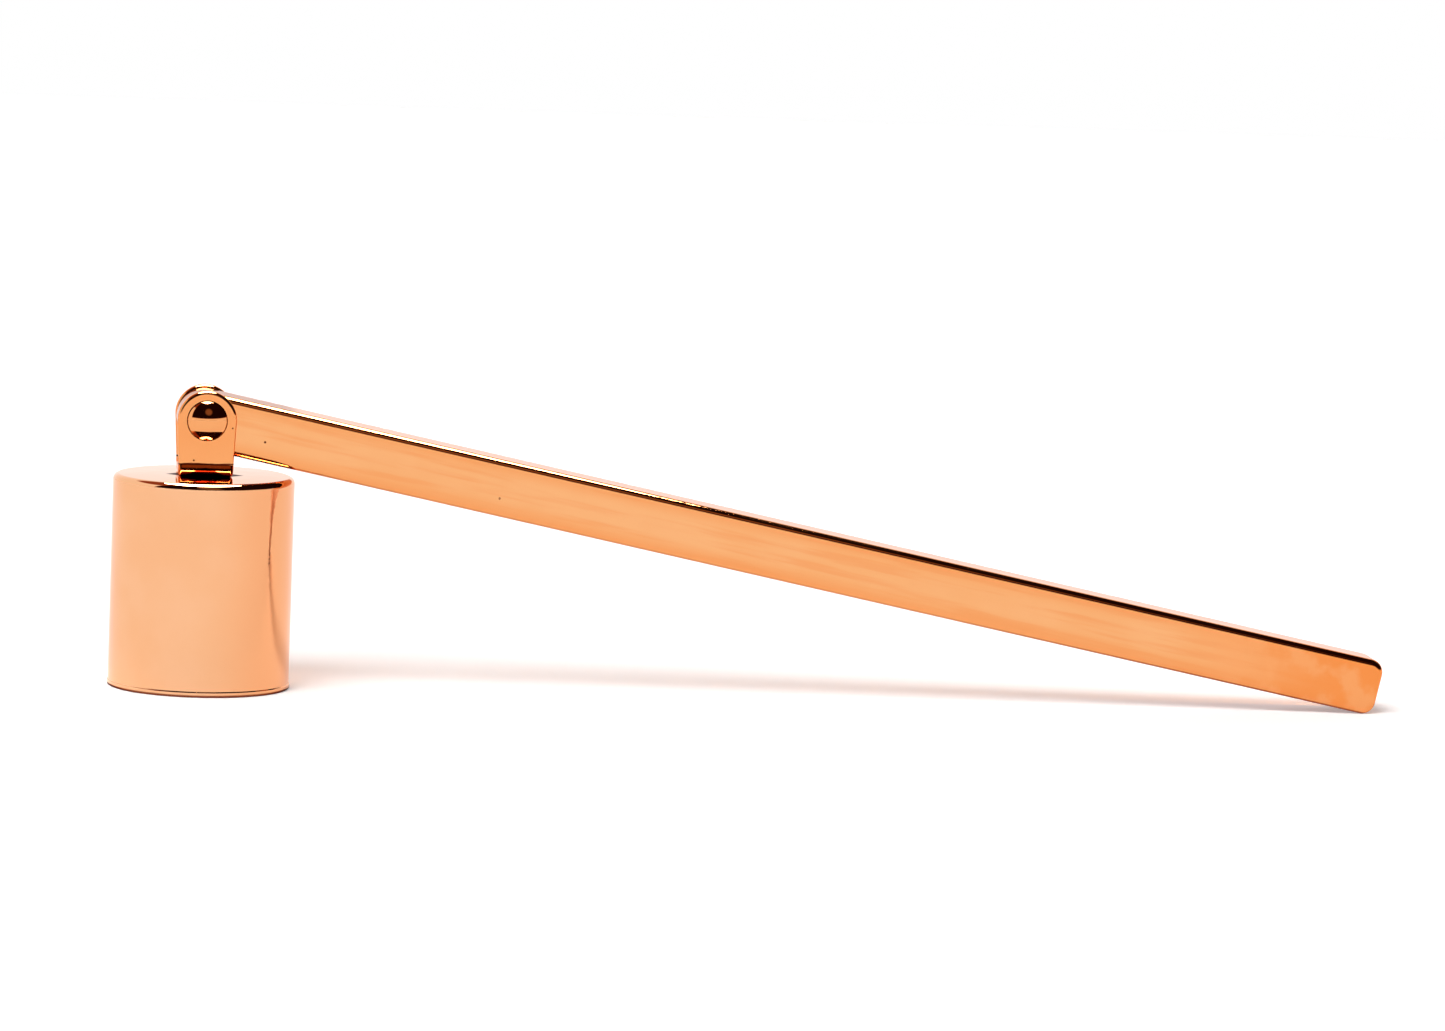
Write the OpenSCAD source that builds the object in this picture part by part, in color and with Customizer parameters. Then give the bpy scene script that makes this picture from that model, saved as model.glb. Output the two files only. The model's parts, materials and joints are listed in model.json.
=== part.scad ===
// Candle snuffer: a drawn cup, a folded bracket riveted to its top, and a bar handle hinged
// between the bracket's two ears. It stands mouth down, with the handle's tip on the table.
// The origin is the centre of the cup's mouth. The handle runs towards +X and turns about a Y axis.

/* [Cup] */
// Outside diameter of the cup's wall
cup_d = 26.5; // [24:0.5:34]
// Height from the mouth to the edge of the top
cup_h = 31; // [26:0.5:40]
// How far the top rises from its edge to the flat in its middle
crown_h = 0.2; // [0.1:0.05:0.4]
// Width of the flat in the middle of the top
flat_d = 12.4; // [11:0.2:14]
// Thickness of the sheet
cup_wall = 0.8; // [0.6:0.1:1.2]
// Outside radius between the wall and the top
cup_round = 0.9; // [0.8:0.1:1.2]
// Height of the low bead round the mouth
bead_h = 0.8; // [0.6:0.1:1.2]
// How far the bead stands out from the wall
bead_out = 0.1; // [0.05:0.05:0.3]

/* [Bracket] */
// Thickness of the folded strip
strip_t = 1.5; // [1.2:0.1:1.8]
// Width of an ear across the pivot
ear_w = 8.6; // [8.4:0.1:9.6]
// Width of the strip where it folds into the base
base_w = 8; // [7:0.1:8.3]
// Outside radius of the two folds
fold_r = 2.2; // [1.9:0.1:2.4]
// Height of the pivot above the flat in the middle of the cup's top
pivot_h = 8.3; // [8:0.1:10]

/* [Handle] */
// Length from the pivot to the tip
bar_l = 179; // [140:1:220]
// Height of the bar, seen from the side
bar_h = 8.3; // [7.6:0.1:8.4]
// Thickness of the bar between the ears
bar_t = 8; // [7:0.1:9]
// Radius along the bar's four long edges
bar_round = 0.9; // [0.5:0.1:1.2]
// Radius of the tip's two corners, seen from the side
tip_round = 2; // [1:0.1:3]
// How far the pivot's hole lies above the middle of the bar's height
hole_rise = 0.25; // [0:0.05:0.5]

/* [Pivot rivet] */
// Diameter of the rivet's shank
pin_d = 3.2; // [2.6:0.1:3.4]
// Diameter of its domed head
head_d = 5.9; // [5.2:0.1:6.4]
// Height of the domed head
head_h = 1.3; // [1:0.1:1.6]
// Diameter of the far end, formed over
formed_d = 5.4; // [4.8:0.1:6]
// Height of the far end, formed over
formed_h = 0.9; // [0.7:0.1:1.2]

/* [Base rivet] */
// Diameter of the shank
base_pin_d = 3; // [2.4:0.1:3.2]
// Diameter of the head between the ears
base_head_d = 5; // [4.4:0.1:5.4]
// Height of the head between the ears
base_head_h = 1.1; // [0.9:0.1:1.2]
// Diameter of the broad end inside the cup
inner_head_d = 7; // [6:0.1:9]
// Height of the broad end inside the cup
inner_head_h = 1.2; // [1:0.1:1.5]

/* [Hidden] */
$fn = 96;

side_gap = 0.3;
run_gap = 0.05;
cut = 1;
plate = [0.93, 0.58, 0.42];
plate_dark = [0.86, 0.50, 0.35];

cup_r = cup_d / 2;
flat_z = cup_h + crown_h;
pivot_z = flat_z + pivot_h;
ear_r = ear_w / 2;
ears_out = bar_t + 2 * side_gap + 2 * strip_t;
inner_fold_r = fold_r - strip_t;
strip_h = pivot_h + ear_r;

// The bar leans down until its tip's lower corner stands on the table.
tip_reach = bar_l - tip_round;
tip_drop = bar_h / 2 - tip_round + hole_rise;
lean = asin((pivot_z - tip_round) / norm([tip_reach, tip_drop])) - atan2(tip_drop, tip_reach);

// Height of a ball's cap from its width, as the radius of the ball.
function cap_ball_r(width, height) = (width * width / 4 + height * height) / (2 * height);

// A rectangle centred on the origin, with its four corners rounded.
module round_rect(size_x, size_y, r) {
    square([size_x - 2 * r, size_y], center = true);
    square([size_x, size_y - 2 * r], center = true);
    for (sx = [-1, 1], sy = [-1, 1])
        translate([sx * (size_x / 2 - r), sy * (size_y / 2 - r)]) circle(r);
}

// A rivet head as a cap of a ball, standing on the plane z = 0.
module dome(width, height) {
    ball_r = cap_ball_r(width, height);
    intersection() {
        translate([0, 0, height - ball_r]) sphere(ball_r);
        cylinder(h = height + cut, d = width + cut);
    }
}

// Half section of the cup, from its axis out. The sheet is equally thick up the top's slope.
module cup_section() {
    difference() {
        union() {
            square([cup_r, cup_h - cup_round]);
            square([cup_r - cup_round, cup_h]);
            translate([cup_r - cup_round, cup_h - cup_round]) circle(cup_round);
            square([cup_r + bead_out, bead_h]);
            polygon([
                [0, cup_h - cup_round], [cup_r - cup_round, cup_h - cup_round],
                [cup_r - cup_round, cup_h], [flat_d / 2, flat_z], [0, flat_z]
            ]);
        }
        polygon([
            [-cut, -cut], [cup_r - cup_wall, -cut], [cup_r - cup_wall, cup_h - cup_wall],
            [flat_d / 2, flat_z - cup_wall], [-cut, flat_z - cup_wall]
        ]);
        translate([-cut, 0]) square([base_pin_d / 2 + cut, flat_z + cut]);
    }
}

module snuffer_cup() {
    color(plate) rotate_extrude() cup_section();
}

// The strip's U seen along X, with the base on y = 0.
module fold_section(across, r) {
    translate([0, r + strip_h / 2]) square([across, strip_h], center = true);
    translate([0, strip_h / 2]) square([across - 2 * r, strip_h], center = true);
    for (side = [-1, 1]) translate([side * (across / 2 - r), r]) circle(r);
}

// The ear's outline seen along Y: a round top that narrows towards the base.
module ear_outline() {
    translate([0, pivot_h]) circle(ear_r);
    polygon([[-base_w / 2, 0], [base_w / 2, 0], [ear_r, pivot_h], [-ear_r, pivot_h]]);
}

module bracket() {
    color(plate) translate([0, 0, flat_z]) difference() {
        intersection() {
            rotate([90, 0, 90]) linear_extrude(ear_w + 2 * cut, center = true) difference() {
                fold_section(ears_out, fold_r);
                translate([0, strip_t]) fold_section(ears_out - 2 * strip_t, inner_fold_r);
            }
            rotate([90, 0, 0]) linear_extrude(ears_out + 2 * cut, center = true) ear_outline();
        }
        translate([0, 0, -cut]) cylinder(h = strip_t + 2 * cut, d = base_pin_d);
        translate([0, 0, pivot_h]) rotate([90, 0, 0])
            cylinder(h = ears_out + 2 * cut, d = pin_d, center = true);
    }
}

// The bar's outline seen along Y, with the pivot at the origin and the tip at +X.
module bar_outline() {
    translate([0, -hole_rise]) {
        circle(bar_h / 2);
        translate([0, -bar_h / 2]) square([tip_reach, bar_h]);
        translate([0, -bar_h / 2 + tip_round]) square([bar_l, bar_h - 2 * tip_round]);
        for (side = [-1, 1])
            translate([tip_reach, side * (bar_h / 2 - tip_round)]) circle(tip_round);
    }
}

module handle() {
    color(plate) translate([0, 0, pivot_z]) rotate([0, lean, 0]) difference() {
        intersection() {
            rotate([90, 0, 0]) linear_extrude(bar_t + 2 * cut, center = true) bar_outline();
            translate([-bar_h, 0, -hole_rise]) rotate([90, 0, 90])
                linear_extrude(bar_l + 2 * bar_h) round_rect(bar_t, bar_h, bar_round);
        }
        rotate([90, 0, 0]) cylinder(h = bar_t + 2 * cut, d = pin_d + 2 * run_gap, center = true);
    }
}

module pivot_rivet() {
    color(plate_dark) translate([0, 0, pivot_z]) {
        rotate([90, 0, 0]) cylinder(h = ears_out, d = pin_d, center = true);
        translate([0, -ears_out / 2, 0]) rotate([90, 0, 0]) dome(head_d, head_h);
        translate([0, ears_out / 2, 0]) rotate([-90, 0, 0]) dome(formed_d, formed_h);
    }
}

module base_rivet() {
    color(plate_dark) {
        translate([0, 0, flat_z - cup_wall]) cylinder(h = cup_wall + strip_t, d = base_pin_d);
        translate([0, 0, flat_z + strip_t]) dome(base_head_d, base_head_h);
        translate([0, 0, flat_z - cup_wall]) rotate([180, 0, 0]) dome(inner_head_d, inner_head_h);
    }
}

snuffer_cup();
bracket();
handle();
pivot_rivet();
base_rivet();
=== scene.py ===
# A candle snuffer: a plated cup that stands mouth down, a folded bracket riveted to its top, and
# a straight bar that hinges between the bracket's ears. All sizes in metres.
import json
import math

import bmesh
import bpy
from mathutils import Matrix, Vector


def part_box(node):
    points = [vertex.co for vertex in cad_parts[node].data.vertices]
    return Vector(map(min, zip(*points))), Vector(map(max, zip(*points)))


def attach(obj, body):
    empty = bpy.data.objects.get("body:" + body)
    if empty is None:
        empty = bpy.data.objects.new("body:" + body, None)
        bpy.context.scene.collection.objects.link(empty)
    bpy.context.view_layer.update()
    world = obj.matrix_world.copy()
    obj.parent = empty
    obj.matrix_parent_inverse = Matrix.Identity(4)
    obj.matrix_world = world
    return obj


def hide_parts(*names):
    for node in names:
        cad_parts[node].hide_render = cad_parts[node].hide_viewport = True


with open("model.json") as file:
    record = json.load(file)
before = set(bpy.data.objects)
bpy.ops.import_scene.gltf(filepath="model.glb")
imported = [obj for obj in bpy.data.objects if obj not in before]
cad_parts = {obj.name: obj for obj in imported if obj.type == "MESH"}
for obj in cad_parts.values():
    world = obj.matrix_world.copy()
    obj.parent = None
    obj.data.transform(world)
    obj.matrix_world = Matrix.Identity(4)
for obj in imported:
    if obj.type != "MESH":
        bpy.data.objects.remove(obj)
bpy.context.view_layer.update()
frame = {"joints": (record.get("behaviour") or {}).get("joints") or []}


# --- Snuffer cup ---------------------------------------------------------------------------
# The cup is drawn from one disc of sheet steel, so the wall and the top are one skin. Its mouth
# is rolled to a low bead, the top rises very gently to a flat where the bracket is riveted on,
# and the whole cup is polished and then plated with copper.
cup_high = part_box("snuffer_cup")[1]
mouth_r = cup_high.x
bead_out = 0.0001
bead_h = 0.0008
cup_wall = 0.0008
cup_round = 0.0009
flat_r = 0.0062
flat_blend = 0.002
crown_h = 0.0002
rivet_hole_r = 0.0015
lip_outer_round = 0.00025
lip_inner_round = 0.00018
bead_top_round = 0.00004
bead_foot_round = 0.00006
wall_r = mouth_r - bead_out
bead_top = bead_h - bead_out / 2
bead_foot = bead_h + bead_out / 2
flat_z = cup_high.z
edge_z = flat_z - crown_h
inner_r = wall_r - cup_wall
inner_edge_z = edge_z - cup_wall
CUP_STEPS = 192


def ring_edges(bm, radius, height):
    """The edges of the turned ring that lies at this radius and height about the Z axis."""
    near = 1e-6

    def on_ring(v):
        return abs(math.hypot(v.co.x, v.co.y) - radius) < near and abs(v.co.z - height) < near

    return [e for e in bm.edges if all(on_ring(v) for v in e.verts)]


def round_edges(bm, edges, radius, segments):
    """Grinds these edges to a round."""
    bmesh.ops.bevel(bm, geom=edges, offset=radius, offset_type="OFFSET", segments=segments,
                    profile=0.5, affect="EDGES", clamp_overlap=True, material=-1)


def turned(section, steps, closed):
    """A bmesh turned about the Z axis from (radius, height) points. A closed section is a ring."""
    bm = bmesh.new()
    points = [bm.verts.new((r, 0, z)) for r, z in section]
    lines = [bm.edges.new(pair) for pair in zip(points, points[1:])]
    if closed:
        lines.append(bm.edges.new((points[-1], points[0])))
    bmesh.ops.spin(bm, geom=points + lines, cent=(0, 0, 0), axis=(0, 0, 1), dvec=(0, 0, 0),
                   angle=math.tau, steps=steps, use_merge=True, use_duplicate=False)
    bmesh.ops.remove_doubles(bm, verts=bm.verts, dist=1e-7)
    bmesh.ops.recalc_face_normals(bm, faces=bm.faces)
    return bm


def finished(name, bm):
    """The bmesh as a smooth object whose flat faces keep their true normals beside the rounds."""
    bmesh.ops.remove_doubles(bm, verts=bm.verts, dist=1e-7)
    bmesh.ops.recalc_face_normals(bm, faces=bm.faces)
    mesh = bpy.data.meshes.new(name)
    bm.to_mesh(mesh)
    bm.free()
    mesh.shade_smooth()
    piece = bpy.data.objects.new(name, mesh)
    bpy.context.scene.collection.objects.link(piece)
    weighted = piece.modifiers.new("true_flats", "WEIGHTED_NORMAL")
    weighted.mode = "FACE_AREA"
    weighted.weight = 100
    return piece


class PlateNodes:
    """Short names for the nodes that a plated finish, or the room it mirrors, is made of. place
    is the vector that its patterns are read at."""

    def __init__(self, tree, coordinates="Object"):
        self.tree = tree
        self.link = tree.links.new
        self.place = tree.nodes.new("ShaderNodeTexCoord").outputs[coordinates]

    def node(self, kind, values=None):
        made = self.tree.nodes.new(kind)
        for socket, value in (values or {}).items():
            made.inputs[socket].default_value = value
        return made

    def calc(self, operation, *values):
        made = self.node("ShaderNodeMath")
        made.operation = operation
        for socket, value in zip(made.inputs, values):
            if isinstance(value, (int, float)):
                socket.default_value = value
            else:
                self.link(value, socket)
        return made.outputs["Value"]

    def noise(self, scale, detail, vector=None):
        made = self.node("ShaderNodeTexNoise", {"Scale": scale, "Detail": detail})
        self.link(vector or self.place, made.inputs["Vector"])
        return made.outputs["Fac"]

    def fitted(self, value, low, high, to_low, to_high):
        """value eased from low..high to to_low..to_high, and held past both ends."""
        made = self.node("ShaderNodeMapRange", {"From Min": low, "From Max": high,
                                                "To Min": to_low, "To Max": to_high})
        made.interpolation_type = "SMOOTHSTEP"
        self.link(value, made.inputs["Value"])
        return made.outputs["Result"]

    def mixed(self, share, first, second):
        """The first colour where share is 0 and the second where it is 1."""
        made = self.node("ShaderNodeMix")
        made.data_type = "RGBA"
        self.link(share, made.inputs["Factor"])
        ends = [socket for socket in made.inputs if socket.type == "RGBA"]
        for socket, colour in zip(ends, (first, second)):
            if isinstance(colour, tuple):
                socket.default_value = (*colour, 1)
            else:
                self.link(colour, socket)
        return next(socket for socket in made.outputs if socket.type == "RGBA")

    def axes(self, vector=None):
        made = self.node("ShaderNodeSeparateXYZ")
        self.link(vector or self.place, made.inputs["Vector"])
        return [made.outputs[axis] for axis in "XYZ"]

    def band(self, value, start, end, soft):
        """1 between start and end, 0 outside, with soft edges."""
        return self.calc("MULTIPLY", self.fitted(value, start - soft, start, 0, 1),
                         self.fitted(value, end, end + soft, 1, 0))


# The dark of the pits, which also serves as the painted shade on the bracket, the rivet and the
# cup.
PIT_AND_SHADE_COLOUR = (0.10, 0.012, 0.004)
PIT_DEPTH = 0.00002


def copper_plate(name, pale, deep, edge_tint, roughness, wave, fine_wave, marks):
    """Polished copper plate: two close tones of copper, tiny dark pits, and faint waves left by
    the polishing wheel, wave and fine_wave deep. edge_tint colours it where it is seen at a very
    low angle. marks(plate, colour) returns the colour with the piece's own marks and its painted
    light and shade on it, and how much of the surface is darkened by them, reflection and all."""
    mat = bpy.data.materials.new(name)
    mat.use_nodes = True
    plate = PlateNodes(mat.node_tree)
    shader = mat.node_tree.nodes["Principled BSDF"]
    shader.inputs["Metallic"].default_value = 1.0
    tone = plate.fitted(plate.noise(90, 3), 0.35, 0.65, 0, 1)
    colour, marked_and_shaded = marks(plate, plate.mixed(tone, pale, deep))
    # The share from marks darkens the reflection's tint as well, over real pits and over painted
    # shade alike.
    plate.link(plate.mixed(marked_and_shaded, edge_tint, PIT_AND_SHADE_COLOUR), shader.inputs["Specular Tint"])

    # Pits: a few cells of a coarse pattern hold one dark dot each.
    cells = plate.node("ShaderNodeTexVoronoi", {"Scale": 230, "Randomness": 1.0})
    plate.link(plate.place, cells.inputs["Vector"])
    pick = plate.node("ShaderNodeSeparateColor")
    plate.link(cells.outputs["Color"], pick.inputs["Color"])
    dot = plate.fitted(cells.outputs["Distance"], 0.022, 0.050, 1, 0)
    pit = plate.calc("MULTIPLY", dot, plate.fitted(pick.outputs["Red"], 0.86, 0.90, 0, 1))
    plate.link(plate.mixed(pit, colour, PIT_AND_SHADE_COLOUR), shader.inputs["Base Color"])

    haze = plate.fitted(plate.noise(140, 4), 0.3, 0.75, roughness, roughness * 1.8)
    plate.link(haze, shader.inputs["Roughness"])
    bump = None
    for height, depth, inward in ((plate.noise(160, 1), wave, False),
                                  (plate.noise(800, 1), fine_wave, False),
                                  (pit, PIT_DEPTH, True)):
        above = plate.node("ShaderNodeBump", {"Strength": 1.0, "Distance": depth})
        above.invert = inward
        plate.link(height, above.inputs["Height"])
        if bump:
            plate.link(bump, above.inputs["Normal"])
        bump = above.outputs["Normal"]
    plate.link(bump, shader.inputs["Normal"])
    return mat


cup_bm = turned([
    (inner_r, 0), (mouth_r, 0), (mouth_r, bead_top), (wall_r, bead_foot),
    (wall_r, edge_z), (flat_r, flat_z), (rivet_hole_r, flat_z),
    (rivet_hole_r, flat_z - cup_wall), (flat_r, flat_z - cup_wall), (inner_r, inner_edge_z),
], CUP_STEPS, closed=True)
for ring, radius, segments in (
    ((wall_r, edge_z), cup_round, 12),
    ((inner_r, inner_edge_z), cup_round, 6),
    ((flat_r, flat_z), flat_blend, 4),
    ((mouth_r, 0), lip_outer_round, 4),
    ((inner_r, 0), lip_inner_round, 4),
    ((mouth_r, bead_top), bead_top_round, 3),
    ((wall_r, bead_foot), bead_foot_round, 3),
):
    round_edges(cup_bm, ring_edges(cup_bm, *ring), radius, segments)

snuffer_cup = finished("snuffer_cup_plated", cup_bm)


handle_side_reflection_copper = (0.82, 0.385, 0.180)
painted_shade_colour = (0.14, 0.014, 0.004)
foot_shade_forward = 0.0016
foot_shade_reach = 0.0059


def cup_painted_light(plate, colour):
    """Painted light on the cup: a deeper copper towards the handle's side, a painted reflection;
    a dark red painted contact shade along the very edge of the mouth; and a painted shade round
    the bracket's foot, a diamond whose corners reach out from under the bracket at both sides and
    in front."""
    x, y, z = plate.axes()
    # Painted reflection: the cup's colour deepens towards the handle's side.
    colour = plate.mixed(plate.fitted(x, 0.0, 0.009, 0, 1), colour, handle_side_reflection_copper)
    # Painted contact shade: dark red along the very edge of the mouth, where the cup meets the
    # table.
    mouth_contact_shade = plate.fitted(z, 0.00026, 0.00048, 0.9, 0)
    # Painted shade: a dark diamond round the bracket's foot on the cup's top, reaching out at both
    # sides and in front.
    from_middle = plate.calc("ADD",
                             plate.calc("ABSOLUTE", plate.calc("ADD", y, foot_shade_forward)),
                             plate.calc("ABSOLUTE", x))
    on_top = plate.fitted(z, edge_z, edge_z + 0.0001, 0, 1)
    foot_shade = plate.calc("MULTIPLY",
                        plate.fitted(from_middle, foot_shade_reach - 0.0006, foot_shade_reach, 1, 0),
                        on_top)
    painted_shade = plate.calc("MAXIMUM", mouth_contact_shade, foot_shade)
    return plate.mixed(painted_shade, colour, painted_shade_colour), painted_shade


snuffer_cup.data.materials.append(copper_plate(
    "cup_copper", pale=(0.84, 0.465, 0.255), deep=(0.83, 0.440, 0.228),
    edge_tint=(1.0, 0.94, 0.92), roughness=0.03, wave=0.00002, fine_wave=0.000010,
    marks=cup_painted_light))
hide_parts("snuffer_cup")
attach(snuffer_cup, "cup_body")


# --- Bracket -------------------------------------------------------------------------------
# A blank of steel strip with round ends, its edges polished round, folded up at both ends into
# a U. The base lies on the flat of the cup, and the two ears stand either side of the handle.
bracket_low, bracket_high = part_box("bracket")
pivot = Vector(frame["joints"][0]["pos_m"])
strip_t = 0.0015
fold_r = 0.0022
ear_r = bracket_high.x
base_half_w = 0.004
edge_round = 0.0005
FOLD_CUTS = 14
END_STEPS = 40
ear_face = bracket_high.y
fold_at = ear_face - fold_r
fold_len = (fold_r - strip_t / 2) * math.pi / 2
ear_start = fold_at + fold_len
pivot_at = ear_start + pivot.z - bracket_low.z - fold_r


def folded(point):
    """Where a point of the flat blank goes: x stays, y is the way along, z is up from below."""
    side = math.copysign(1, point.y)
    along = abs(point.y)
    from_axis = fold_r - point.z
    if along <= fold_at:
        out, up = along, point.z
    elif along < ear_start:
        turn = (along - fold_at) / fold_len * math.pi / 2
        out, up = fold_at + from_axis * math.sin(turn), fold_r - from_axis * math.cos(turn)
    else:
        out, up = fold_at + from_axis, fold_r + along - ear_start
    return Vector((point.x, side * out, bracket_low.z + up))


half_outline = [(base_half_w, fold_at), (base_half_w, ear_start)]
half_outline += [
    (ear_r * math.cos(a), pivot_at + ear_r * math.sin(a))
    for a in (math.pi * i / END_STEPS for i in range(END_STEPS + 1))
]
half_outline += [(-base_half_w, ear_start), (-base_half_w, fold_at)]
outline = half_outline + [(-x, -y) for x, y in half_outline]
blank = bmesh.new()
under_face = blank.faces.new([blank.verts.new((x, y, 0)) for x, y in outline])
raised = bmesh.ops.extrude_face_region(blank, geom=[under_face])["geom"]
bmesh.ops.translate(blank, vec=(0, 0, strip_t),
                    verts=[g for g in raised if isinstance(g, bmesh.types.BMVert)])
bmesh.ops.recalc_face_normals(blank, faces=blank.faces)
rims = [e for e in blank.edges if abs(e.verts[0].co.z - e.verts[1].co.z) < 1e-7]
round_edges(blank, rims, edge_round, 6)
cuts = [fold_at + fold_len * i / FOLD_CUTS for i in range(FOLD_CUTS + 1)]
for place in [s * c for s in (-1, 1) for c in cuts]:
    bmesh.ops.bisect_plane(blank, geom=blank.verts[:] + blank.edges[:] + blank.faces[:],
                           dist=1e-7, plane_co=(0, place, 0), plane_no=(0, 1, 0))
for v in blank.verts:
    v.co = folded(v.co)

bracket = finished("bracket_plated", blank)


# Each deep pit on the near ear: how far right of the pivot, how far above it, and its radius.
EAR_PITS = ((0.0037, -0.0010, 0.00016), (-0.0018, -0.0058, 0.00018))


def bracket_pits_and_bend_shade(plate, colour):
    """Two deeper pits on the near ear, and a painted dark reflection in the two bends, as a ragged
    dark line across the strip where each bend meets its ear."""
    height = plate.axes()[2]
    # Painted dark reflection: a ragged band across the strip at the top of each bend.
    ragged = plate.calc("ADD", height,
                        plate.calc("MULTIPLY", plate.noise(330, 2), 0.0007))
    dark = plate.band(ragged, bracket_low.z + 0.00228, bracket_low.z + 0.00242, 0.00008)
    for pit_x, pit_rise, pit_r in EAR_PITS:
        away = plate.node("ShaderNodeVectorMath")
        away.operation = "DISTANCE"
        plate.link(plate.place, away.inputs[0])
        away.inputs[1].default_value = (pit_x, -ear_face, pivot.z + pit_rise)
        dark = plate.calc("MAXIMUM", dark,
                          plate.fitted(away.outputs["Value"], pit_r * 0.5, pit_r, 1, 0))
    return plate.mixed(dark, colour, PIT_AND_SHADE_COLOUR), dark


bracket.data.materials.append(copper_plate(
    "bracket_copper", pale=(0.83, 0.350, 0.128), deep=(0.82, 0.330, 0.115),
    edge_tint=(0.95, 0.52, 0.36), roughness=0.03, wave=0.00004, fine_wave=0.000006,
    marks=bracket_pits_and_bend_shade))
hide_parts("bracket")
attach(bracket, "cup_body")


# --- Handle --------------------------------------------------------------------------------
# A solid steel bar, nearly square. Its pivot end is round, its tip has two small corners, and
# every edge was ground to a round before it was polished and plated.
handle_low, handle_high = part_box("handle")
bar_l = 0.179
hole_rise = 0.00025
bar_h = 0.0083
bar_t = handle_high.y - handle_low.y
bar_round = 0.00095
tip_round = 0.002
TIP_STEPS = 12
tip_reach = bar_l - tip_round
corner = bar_h / 2 - tip_round
tip_drop = corner + hole_rise
lean = (math.asin((pivot.z - tip_round) / math.hypot(tip_reach, tip_drop))
        - math.atan2(tip_drop, tip_reach))


def arc(x, z, radius, start, end, steps):
    """Points on an arc in the XZ plane, from one angle to another, in degrees."""
    turns = [math.radians(start + (end - start) * i / steps) for i in range(steps + 1)]
    return [(x + radius * math.cos(a), z + radius * math.sin(a)) for a in turns]


bar_outline = (arc(0, 0, bar_h / 2, 90, 270, END_STEPS)
               + arc(tip_reach, -corner, tip_round, -90, 0, TIP_STEPS)
               + arc(tip_reach, corner, tip_round, 0, 90, TIP_STEPS))
bar = bmesh.new()
near_face = bar.faces.new([bar.verts.new((x, -bar_t / 2, z)) for x, z in bar_outline])
pushed = bmesh.ops.extrude_face_region(bar, geom=[near_face])["geom"]
bmesh.ops.translate(bar, vec=(0, bar_t, 0),
                    verts=[g for g in pushed if isinstance(g, bmesh.types.BMVert)])
bmesh.ops.recalc_face_normals(bar, faces=bar.faces)
long_edges = [e for e in bar.edges if abs(e.verts[0].co.y - e.verts[1].co.y) < 1e-7]
round_edges(bar, long_edges, bar_round, 12)
bmesh.ops.translate(bar, vec=(0, 0, -hole_rise), verts=bar.verts)
bmesh.ops.transform(bar, matrix=Matrix.Translation(pivot) @ Matrix.Rotation(lean, 4, "Y"),
                    verts=bar.verts)

handle = finished("handle_plated", bar)


edge_reflection_copper = (0.81, 0.325, 0.110)
streak_copper = (0.80, 0.300, 0.095)
tip_shade_copper = (0.81, 0.265, 0.066)
smear_copper = (0.83, 0.350, 0.130)
underside_shade_copper = (0.30, 0.045, 0.012)


def bar_marks(plate, colour):
    """Painted light on the bar: redder along its edges, a painted reflection; redder towards its
    tip and dark along the underside, painted shade; and a painted darker reflection on the pivot
    end between the ears. It also has faint streaks along its length and a paler smear from
    handling near the tip."""
    squared = plate.node("ShaderNodeMapping", {"Rotation": (0, -lean, 0)})
    plate.link(plate.place, squared.inputs["Vector"])
    along, _, up = plate.axes(squared.outputs["Vector"])
    middle = pivot.z * math.cos(lean) - hole_rise
    off_middle = plate.calc("ABSOLUTE", plate.calc("SUBTRACT", up, middle))
    # Painted reflection: redder towards the top and bottom edges of the faces.
    edge_reflection_share = plate.fitted(off_middle, 0.0012, 0.0036, 0, 0.85)
    colour = plate.mixed(edge_reflection_share, colour, edge_reflection_copper)
    drawn_out = plate.node("ShaderNodeMapping", {"Scale": (0.06, 1, 1)})
    plate.link(squared.outputs["Vector"], drawn_out.inputs["Vector"])
    streaks = plate.noise(900, 3, drawn_out.outputs["Vector"])
    colour = plate.mixed(plate.fitted(streaks, 0.46, 0.70, 0, 0.5), colour, streak_copper)
    ragged = plate.calc("ADD", plate.axes()[0],
                        plate.calc("MULTIPLY", plate.noise(70, 3), 0.008))
    # Painted shade: redder towards the tip, where the faces mirror the shaded table.
    colour = plate.mixed(plate.fitted(ragged, 0.144, 0.178, 0, 1), colour, tip_shade_copper)
    smear = plate.calc("MULTIPLY", plate.fitted(ragged, 0.148, 0.162, 0, 1),
                       plate.fitted(plate.noise(190, 5), 0.46, 0.62, 0, 0.8))
    colour = plate.mixed(smear, colour, smear_copper)
    # Painted contact shade: dark along the underside's round, deepening towards the tip near the
    # table.
    under = plate.calc("MULTIPLY", plate.fitted(up, middle - 0.00395, middle - 0.00375, 1, 0),
                       plate.fitted(along, 0.090, 0.160, 0.3, 0.9))
    # Painted shade: the pivot end between the ears gets a darker reflection.
    pivot_end_shade = plate.fitted(along, 0.003, 0.006, 1, 0)
    return plate.mixed(under, colour, underside_shade_copper), plate.calc("MULTIPLY", pivot_end_shade, 0.35)


handle.data.materials.append(copper_plate(
    "handle_copper", pale=(0.83, 0.412, 0.178), deep=(0.82, 0.392, 0.162),
    edge_tint=(1.0, 0.78, 0.70), roughness=0.03, wave=0.00002, fine_wave=0.000005,
    marks=bar_marks))
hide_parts("handle")
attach(handle, "handle_body")


# --- Rivets --------------------------------------------------------------------------------
# Two solid rivets. The pivot rivet's domed head shows on the near ear and its far end is formed
# over on the other ear. The base rivet holds the bracket's base down through the cup's top.
pin_low, pin_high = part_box("pivot_rivet")
base_low, base_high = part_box("base_rivet")
pin_r = 0.0016
pin_head_w = 0.0059
pin_formed_w = 0.0054
base_head_w = 0.005
base_formed_w = 0.007
DOME_STEPS = 12
RIVET_STEPS = 96


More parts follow.
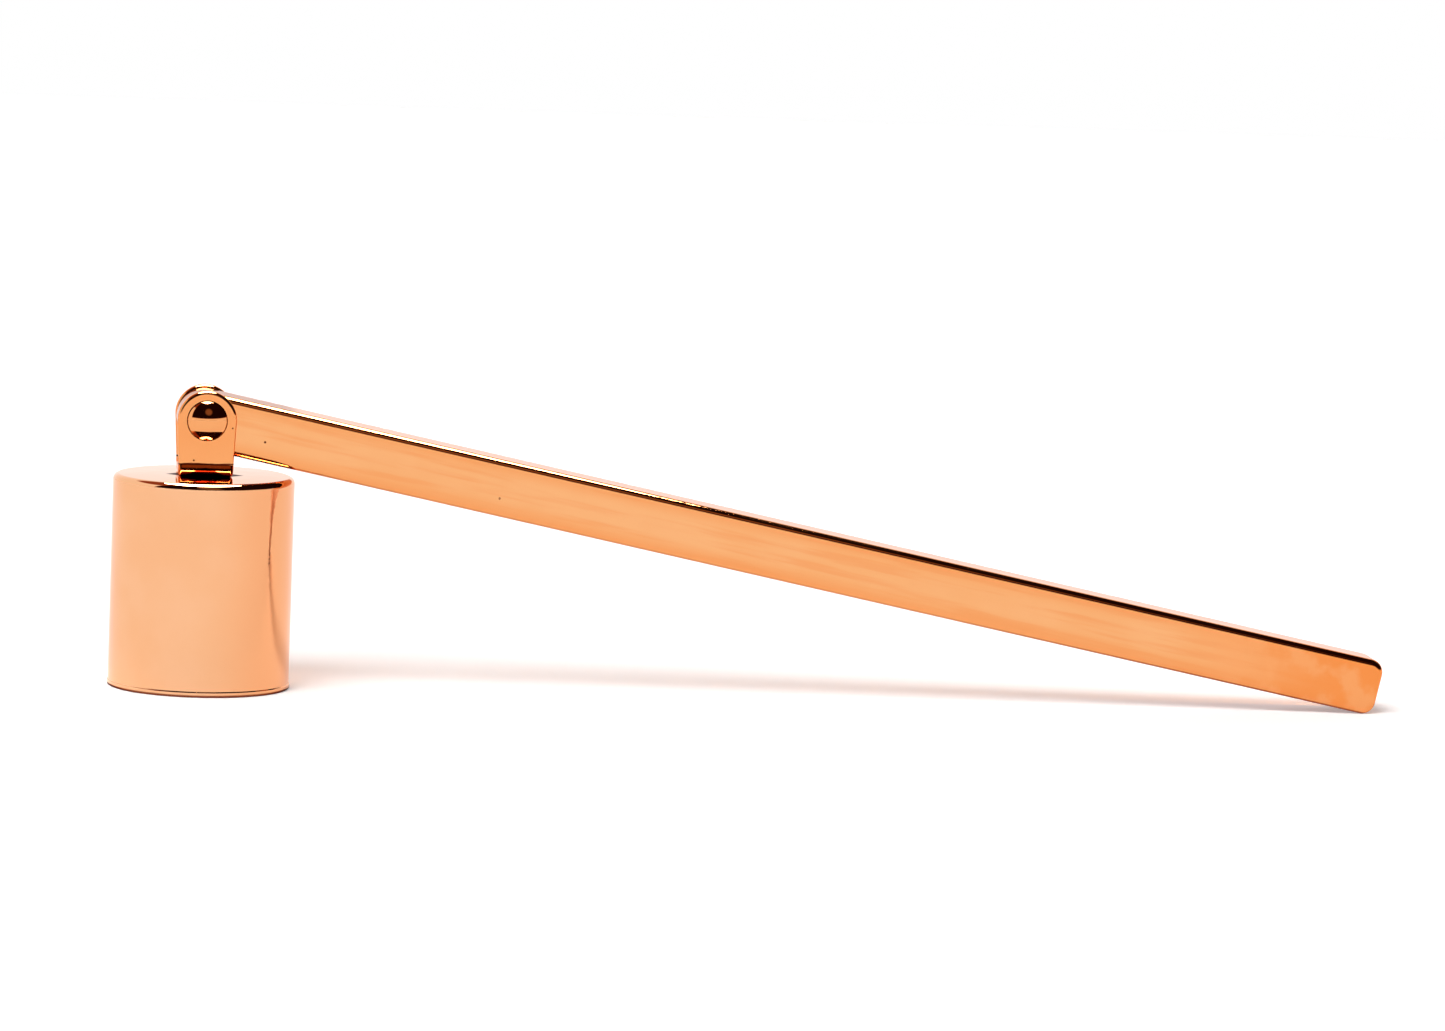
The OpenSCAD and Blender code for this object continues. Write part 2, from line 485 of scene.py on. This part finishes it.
def cap(width, height, steps):
    """(radius, height) points up a shallow dome, from its rim to its crown on the axis."""
    ball = (width * width / 4 + height * height) / (2 * height)
    rim = math.asin(width / 2 / ball)
    turns = [rim * (1 - i / steps) for i in range(steps + 1)]
    return [(ball * math.sin(a), height - ball + ball * math.cos(a)) for a in turns]


def rivet(shank_r, grip, head, formed):
    """A rivet on the Z axis, with its head's seat at z = 0 and its formed end's seat at -grip.
    head and formed are each a cap's width and height."""
    formed_cap = [(r, -grip - z) for r, z in reversed(cap(*formed, DOME_STEPS))]
    section = formed_cap + [(shank_r, -grip), (shank_r, 0)] + cap(*head, DOME_STEPS)
    return turned(section, RIVET_STEPS, closed=False)


def rivet_rim_shade(plate, colour):
    """A painted shade ring round the pivot head, where its rim meets the ear."""
    y = plate.axes()[1]
    ring = plate.band(y, -ear_face - 0.0001, -ear_face, 0.00005)
    return plate.mixed(ring, colour, PIT_AND_SHADE_COLOUR), ring


rivet_copper = copper_plate(
    "rivet_copper", pale=(0.82, 0.365, 0.140), deep=(0.81, 0.345, 0.130),
    edge_tint=(1.0, 0.85, 0.78), roughness=0.035, wave=0.000015, fine_wave=0.000003,
    marks=rivet_rim_shade)
pin_bm = rivet(pin_r, 2 * ear_face, head=(pin_head_w, -pin_low.y - ear_face),
               formed=(pin_formed_w, pin_high.y - ear_face))
bmesh.ops.transform(
    pin_bm, verts=pin_bm.verts,
    matrix=Matrix.Translation((0, -ear_face, pivot.z)) @ Matrix.Rotation(math.pi / 2, 4, "X"))
pivot_rivet = finished("pivot_rivet_plated", pin_bm)
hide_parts("pivot_rivet")
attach(pivot_rivet, "cup_body")

base_bm = rivet(rivet_hole_r, strip_t + cup_wall,
                head=(base_head_w, base_high.z - flat_z - strip_t),
                formed=(base_formed_w, flat_z - cup_wall - base_low.z))
bmesh.ops.translate(base_bm, vec=(0, 0, flat_z + strip_t), verts=base_bm.verts)
base_rivet = finished("base_rivet_plated", base_bm)
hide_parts("base_rivet")
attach(base_rivet, "cup_body")
for piece in (pivot_rivet, base_rivet):
    piece.data.materials.append(rivet_copper)


# --- Table ---------------------------------------------------------------------------------
# A plain white sheet that the snuffer stands on. Seen from below it is clear, so that the cup's
# mouth can be looked into.
TABLE_HALF = 1.6
table_bm = bmesh.new()
bmesh.ops.create_grid(table_bm, x_segments=1, y_segments=1, size=TABLE_HALF)
table_mesh = bpy.data.meshes.new("table")
table_bm.to_mesh(table_mesh)
table_bm.free()
table = bpy.data.objects.new("table", table_mesh)
bpy.context.scene.collection.objects.link(table)
white = bpy.data.materials.new("white_sheet")
white.use_nodes = True
nodes, links = white.node_tree.nodes, white.node_tree.links
nodes.clear()
paper = nodes.new("ShaderNodeBsdfDiffuse")
paper.inputs["Color"].default_value = (0.86, 0.86, 0.86, 1)
clear = nodes.new("ShaderNodeBsdfTransparent")
side = nodes.new("ShaderNodeNewGeometry")
either = nodes.new("ShaderNodeMixShader")
sheet_out = nodes.new("ShaderNodeOutputMaterial")
links.new(side.outputs["Backfacing"], either.inputs["Fac"])
# A faint glow of its own fills in the shadow.
fill = nodes.new("ShaderNodeEmission")
fill.inputs["Strength"].default_value = 0.32
lit_paper = nodes.new("ShaderNodeAddShader")
links.new(paper.outputs["BSDF"], lit_paper.inputs[0])
links.new(fill.outputs["Emission"], lit_paper.inputs[1])
links.new(lit_paper.outputs["Shader"], either.inputs[1])
links.new(clear.outputs["BSDF"], either.inputs[2])
links.new(either.outputs["Shader"], sheet_out.inputs["Surface"])
table_mesh.materials.append(white)


# --- Studio light --------------------------------------------------------------------------
# A white room with a bright round soft box overhead, which only the polished metal shows, and a
# key light from the front left that only lights the table. The room is unlit ahead of the snuffer
# and to its right, which draws the dark lines along the rounded edges. The ceiling is unlit too,
# and a dim red on the left.
room = bpy.data.worlds.new("studio")
bpy.context.scene.world = room
room.use_nodes = True
tree = room.node_tree
tree.nodes.clear()
sky = PlateNodes(tree, "Generated")
right, back, up = sky.axes()
# The bearing is 0 straight ahead (-Y) and grows to the right, in radians.
bearing = sky.calc("ARCTAN2", right, sky.calc("MULTIPLY", back, -1.0))
ahead = sky.calc("MULTIPLY", sky.band(bearing, -1.14, 2.2, 0.08),
                 sky.fitted(up, 0.09, 0.14, 0, 1))
ceiling = sky.calc("MULTIPLY", sky.fitted(up, 0.64, 0.72, 0, 1),
                   sky.fitted(right, -0.10, 0.10, 0.70, 1.0))
unlit = sky.calc("MAXIMUM", ahead, ceiling)
walls = tree.nodes.new("ShaderNodeValToRGB")
stops = walls.color_ramp.elements
stops[0].position, stops[0].color = 0.0, (1.13, 1.12, 1.11, 1)
stops[1].position, stops[1].color = 1.0, (0.012, 0.003, 0.002, 1)
warm = stops.new(0.6)
warm.color = (0.42, 0.10, 0.04, 1)
tree.links.new(unlit, walls.inputs["Fac"])
# A dim warm patch in the unlit part: the glow of the lamp's own housing.
patch_way = Vector((0.10, -0.82, 0.57)).normalized()
facing = tree.nodes.new("ShaderNodeVectorMath")
facing.operation = "DOT_PRODUCT"
tree.links.new(sky.place, facing.inputs[0])
facing.inputs[1].default_value = patch_way
patch = sky.fitted(facing.outputs["Value"], 0.955, 0.992, 0, 0.6)
lit = sky.mixed(patch, walls.outputs["Color"], (0.45, 0.22, 0.12))
seen = tree.nodes.new("ShaderNodeLightPath").outputs["Is Camera Ray"]
glow = tree.nodes.new("ShaderNodeBackground")
tree.links.new(sky.mixed(seen, lit, (1.0, 1.0, 1.0)), glow.inputs["Color"])
sky_out = tree.nodes.new("ShaderNodeOutputWorld")
tree.links.new(glow.outputs["Background"], sky_out.inputs["Surface"])
bpy.context.scene.view_settings.view_transform = "Standard"


def lamp(name, kind, place, shines_from, energy):
    """A lamp that the camera doesn't see. shines_from points back along its light."""
    light = bpy.data.lights.new(name, kind)
    light.energy = energy
    made = bpy.data.objects.new(name, light)
    bpy.context.scene.collection.objects.link(made)
    made.matrix_world = (Matrix.Translation(place)
                         @ Vector(shines_from).to_track_quat("Z", "Y").to_matrix().to_4x4())
    made.visible_camera = False
    return made


BOX_RISE = 4.0
soft_box = lamp("soft_box", "AREA", (0, 0.23 * BOX_RISE, BOX_RISE), (0, 0, 1), 800)
soft_box.data.shape = "ELLIPSE"
soft_box.data.size, soft_box.data.size_y = 0.73 * BOX_RISE, 1.06 * BOX_RISE
soft_box.visible_diffuse = False
key_from = (-0.42, -0.66, 1.0)
key = lamp("key_light", "SUN", key_from, key_from, 2.65)
key.data.angle = 0.60
key.visible_glossy = False


# --- Camera --------------------------------------------------------------------------------
# A long lens, a little to the left of the snuffer and a little above it, turned slightly.
camera_data = bpy.data.cameras.new("camera")
camera_data.sensor_width = 36
camera_data.lens = 161.94
camera = bpy.data.objects.new("camera", camera_data)
bpy.context.scene.collection.objects.link(camera)
target = Vector((0.07633, 0, 0.02693))
distance = 0.95786
bearing_turn, rise, roll = (math.radians(a) for a in (-6.837, 6.527, 2.225))
away = Vector((math.sin(bearing_turn) * math.cos(rise), -math.cos(bearing_turn) * math.cos(rise),
               math.sin(rise)))
camera.matrix_world = (Matrix.Translation(target + away * distance)
                       @ Matrix.Rotation(bearing_turn, 4, "Z")
                       @ Matrix.Rotation(math.pi / 2 - rise, 4, "X")
                       @ Matrix.Rotation(roll, 4, "Z"))
camera_data.clip_start, camera_data.clip_end = 0.01, 20
bpy.context.scene.camera = camera
